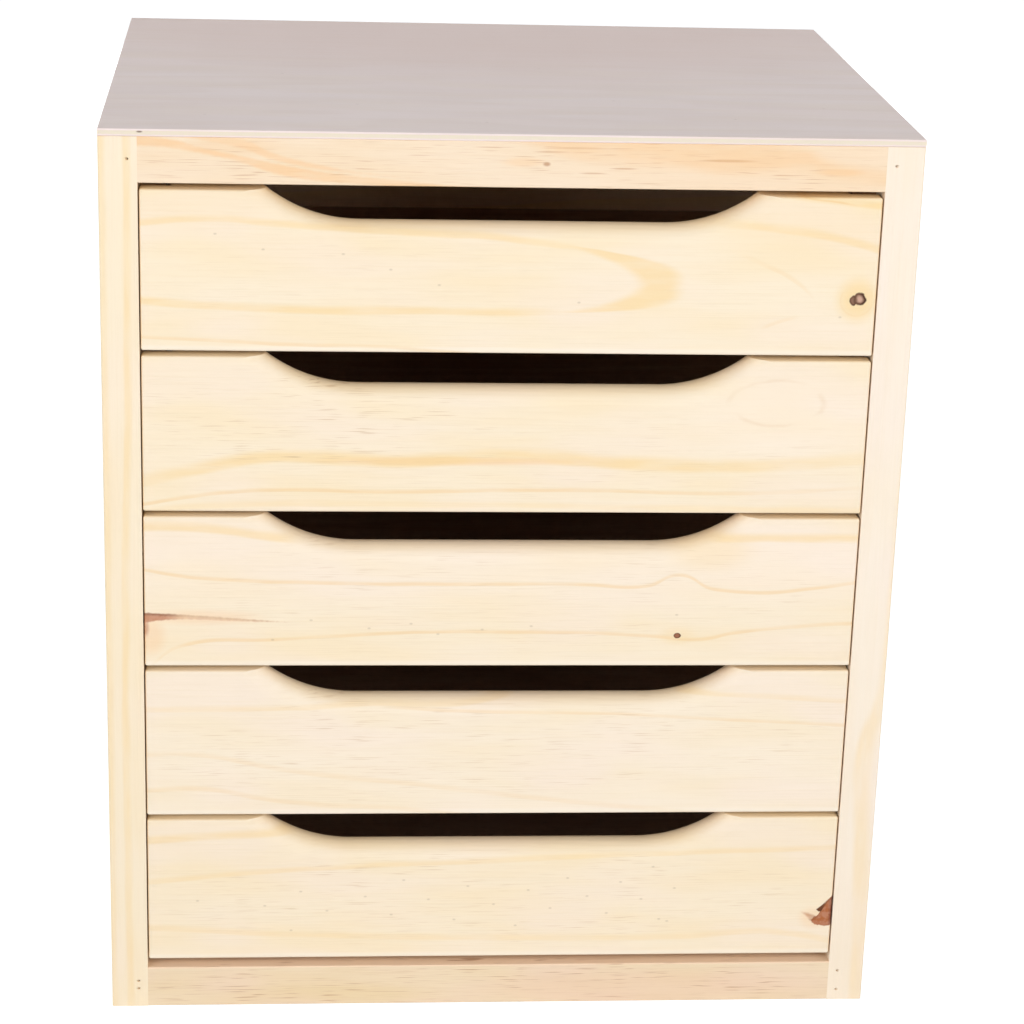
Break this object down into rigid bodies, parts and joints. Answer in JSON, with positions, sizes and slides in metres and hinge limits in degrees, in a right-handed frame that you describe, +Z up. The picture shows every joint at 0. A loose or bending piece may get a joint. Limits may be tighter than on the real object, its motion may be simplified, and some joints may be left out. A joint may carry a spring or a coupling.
{
  "type": "drawer unit",
  "caption": "Desktop pine drawer unit: open-based case with a thin plywood top and inset drawers on wooden runners, each front with a rounded finger-grip cut-out along its top edge.",
  "frame": {"origin": "centre of the base's outline, on the surface that the unit stands on", "axes": "+Z up, drawers open towards -Y, +X to the right seen from the front"},
  "size_m": [0.32, 0.255, 0.375],
  "materials": {
    "pine_case": "bare sanded pine",
    "pine_front": "bare sanded pine",
    "pine_box": "bare planed pine",
    "plywood": "bare sanded plywood",
    "lauan_plywood": "bare sanded lauan plywood",
    "steel": "bright drawn wire"
  },
  "bodies": {
    "case": {"left_side_panel": "pine_case", "right_side_panel": "pine_case", "top_panel": "plywood", "back_panel": "plywood", "top_front_rail": "pine_case", "bottom_front_rail": "pine_case", "top_back_rail": "pine_case", "bottom_back_rail": "pine_case", "left_kicker": "pine_case", "left_runner_1": "pine_case", "left_runner_2": "pine_case", "left_runner_3": "pine_case", "left_runner_4": "pine_case", "left_runner_5": "pine_case", "right_kicker": "pine_case", "right_runner_1": "pine_case", "right_runner_2": "pine_case", "right_runner_3": "pine_case", "right_runner_4": "pine_case", "right_runner_5": "pine_case", "rail_brads": "steel", "runner_brads": "steel", "back_panel_brads": "steel"},
    "drawer_1": {"drawer_1_front": "pine_front", "drawer_1_left_side": "pine_box", "drawer_1_right_side": "pine_box", "drawer_1_back": "pine_box", "drawer_1_bottom": "lauan_plywood", "drawer_1_brads": "steel"},
    "drawer_2": {"drawer_2_front": "pine_front", "drawer_2_left_side": "pine_box", "drawer_2_right_side": "pine_box", "drawer_2_back": "pine_box", "drawer_2_bottom": "lauan_plywood", "drawer_2_brads": "steel"},
    "drawer_3": {"drawer_3_front": "pine_front", "drawer_3_left_side": "pine_box", "drawer_3_right_side": "pine_box", "drawer_3_back": "pine_box", "drawer_3_bottom": "lauan_plywood", "drawer_3_brads": "steel"},
    "drawer_4": {"drawer_4_front": "pine_front", "drawer_4_left_side": "pine_box", "drawer_4_right_side": "pine_box", "drawer_4_back": "pine_box", "drawer_4_bottom": "lauan_plywood", "drawer_4_brads": "steel"},
    "drawer_5": {"drawer_5_front": "pine_front", "drawer_5_left_side": "pine_box", "drawer_5_right_side": "pine_box", "drawer_5_back": "pine_box", "drawer_5_bottom": "lauan_plywood", "drawer_5_brads": "steel"}
  },
  "joints": [
    {"name": "drawer_1_slide", "type": "slide", "parent": "case", "child": "drawer_1", "axis": [0, -1, 0], "range_m": [0, 0.19]},
    {"name": "drawer_2_slide", "type": "slide", "parent": "case", "child": "drawer_2", "axis": [0, -1, 0], "range_m": [0, 0.19]},
    {"name": "drawer_3_slide", "type": "slide", "parent": "case", "child": "drawer_3", "axis": [0, -1, 0], "range_m": [0, 0.19]},
    {"name": "drawer_4_slide", "type": "slide", "parent": "case", "child": "drawer_4", "axis": [0, -1, 0], "range_m": [0, 0.19]},
    {"name": "drawer_5_slide", "type": "slide", "parent": "case", "child": "drawer_5", "axis": [0, -1, 0], "range_m": [0, 0.19]}
  ]
}
